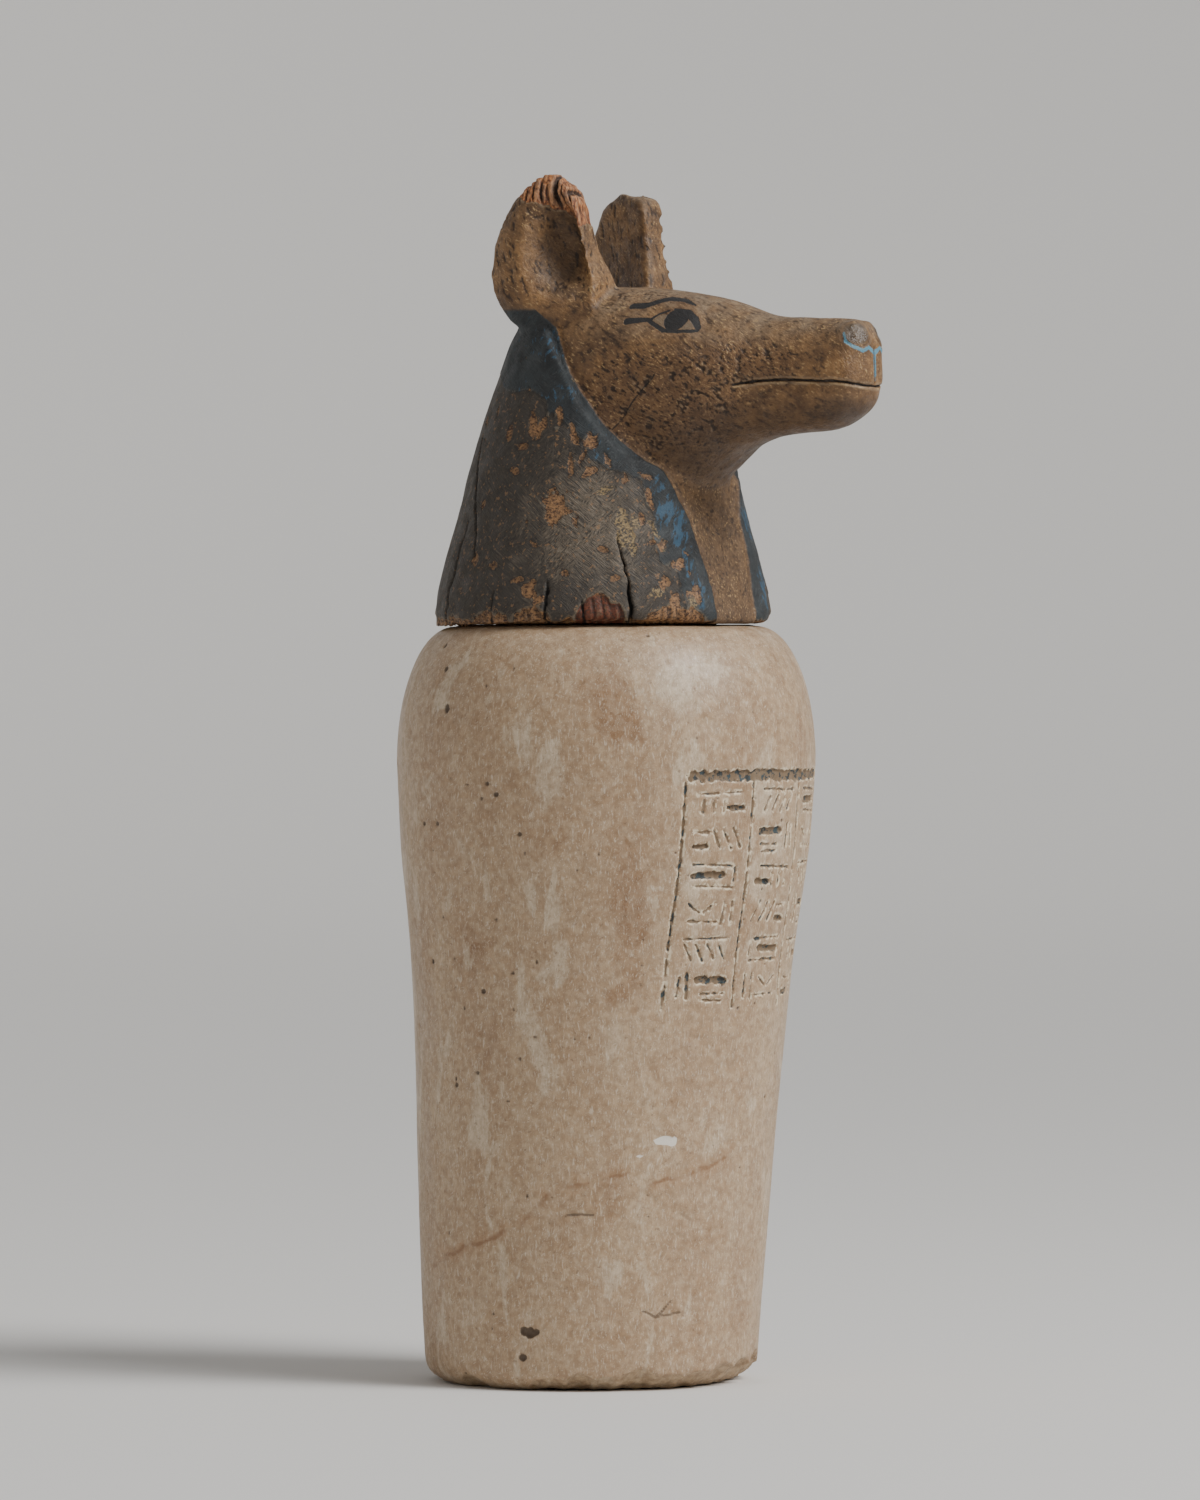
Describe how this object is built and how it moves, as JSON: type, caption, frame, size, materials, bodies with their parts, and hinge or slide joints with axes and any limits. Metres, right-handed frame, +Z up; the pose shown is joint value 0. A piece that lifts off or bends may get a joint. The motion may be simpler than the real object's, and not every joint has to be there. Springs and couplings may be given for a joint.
{
  "type": "canopic jar",
  "caption": "Tall shouldered stone jar, hollow, with an incised front panel and a loose wooden lid carved as a jackal's head.",
  "frame": {"origin": "centre of the jar's underside", "axes": "+Z up the jar, -Y the way the jackal looks, +X to the jackal's left"},
  "size_m": [0.1576, 0.1975, 0.4488],
  "materials": {
    "calcite": "polished banded calcite, worn, scratched and stained",
    "painted_wood": "carved wood with worn ochre, blue and black paint"
  },
  "bodies": {
    "root": {"jar": "calcite", "lid": "painted_wood"}
  },
  "joints": []
}
